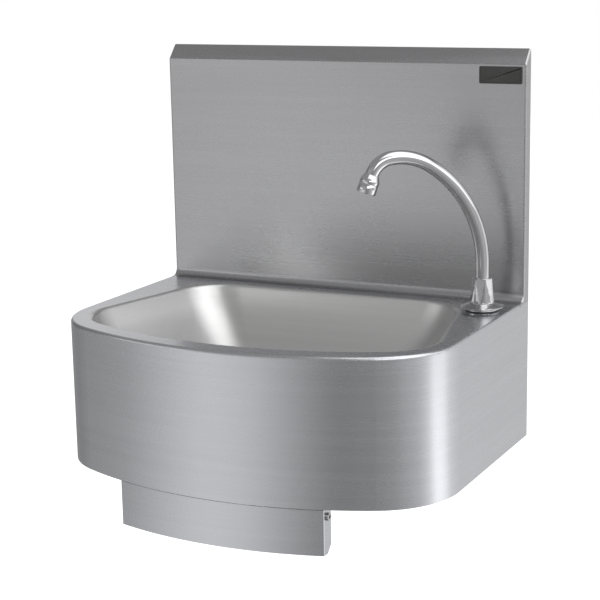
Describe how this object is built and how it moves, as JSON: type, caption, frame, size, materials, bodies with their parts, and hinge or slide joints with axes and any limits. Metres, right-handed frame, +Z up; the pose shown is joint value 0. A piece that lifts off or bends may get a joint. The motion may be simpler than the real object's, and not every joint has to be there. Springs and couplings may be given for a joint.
{
  "type": "hand wash sink",
  "caption": "Wall-hung stainless steel hand wash sink with splashback, pressed bowl, swivelling swan-neck spout and knee-operated valve under a curved apron",
  "frame": {"origin": "on the wall's plane, midway between the two wall fixing holes", "axes": "+X right as seen by the user, +Y into the wall, +Z up"},
  "size_m": [0.5, 0.378, 0.543],
  "materials": {
    "brushed_steel": "fine brushed, satin",
    "plain_steel": "mill finish",
    "chrome": "polished chrome plate",
    "fasteners": "plain stainless steel",
    "brass": "machined",
    "rubber": "matte black",
    "white_nylon": "moulded",
    "copper": "drawn copper pipe",
    "dark_plate": "satin black, blank"
  },
  "bodies": {
    "basin": {"badge_plate": "dark_plate", "bowl": "brushed_steel", "bracket_nuts": "fasteners", "bracket_screws": "fasteners", "casing": "brushed_steel", "check_valves": "white_nylon", "hinge_bracket_left": "plain_steel", "hinge_bracket_right": "plain_steel", "mixing_block": "brass", "outlet_pipe": "copper", "pipe_olives": "fasteners", "pivot_bushes": "white_nylon", "pivot_nuts": "fasteners", "pivot_screws": "fasteners", "splashback": "brushed_steel", "spout_grub_screw": "fasteners", "tap_backnut": "brass", "tap_body": "chrome", "tap_gasket": "rubber", "tap_rosette": "chrome", "tap_washer": "brass", "union_nuts": "brass", "valve_body": "brass", "valve_bonnet": "brass", "valve_bracket": "plain_steel", "valve_locknut": "brass", "valve_spring": "fasteners", "wall_rail": "plain_steel", "waste_body": "brass", "waste_gasket": "rubber", "waste_screw": "fasteners", "waste_seal": "rubber", "waste_strainer": "chrome"},
    "knee_panel_body": {"knee_panel": "brushed_steel", "panel_buffer": "rubber"},
    "push_button": {"valve_button": "brass", "valve_poppet": "brass", "poppet_seal": "rubber"},
    "spout": {"spout_tube": "chrome", "spout_tail": "brass", "spout_o_rings": "rubber", "aerator_housing": "chrome", "aerator_seal": "rubber", "aerator_insert": "white_nylon"}
  },
  "joints": [
    {"name": "knee_panel_hinge", "type": "hinge", "parent": "basin", "child": "knee_panel_body", "pos_m": [0, -0.34738, -0.147], "axis": [1, 0, 0], "range_deg": [0, 12], "stiffness_Nm_per_rad": 0.5, "springref_deg": -5.73},
    {"name": "button_slide", "type": "slide", "parent": "basin", "child": "push_button", "axis": [0, 1, 0], "range_m": [0, 0.00449], "deforming": ["valve_spring"]},
    {"name": "spout_swivel", "type": "hinge", "parent": "basin", "child": "spout", "pos_m": [0.215, -0.072, 0.04], "axis": [0, 0, 1], "range_deg": [-45, 90]}
  ],
  "couplings": [
    {"joint": "button_slide", "follows": "knee_panel_hinge", "m_per_rad": 0.0205}
  ]
}
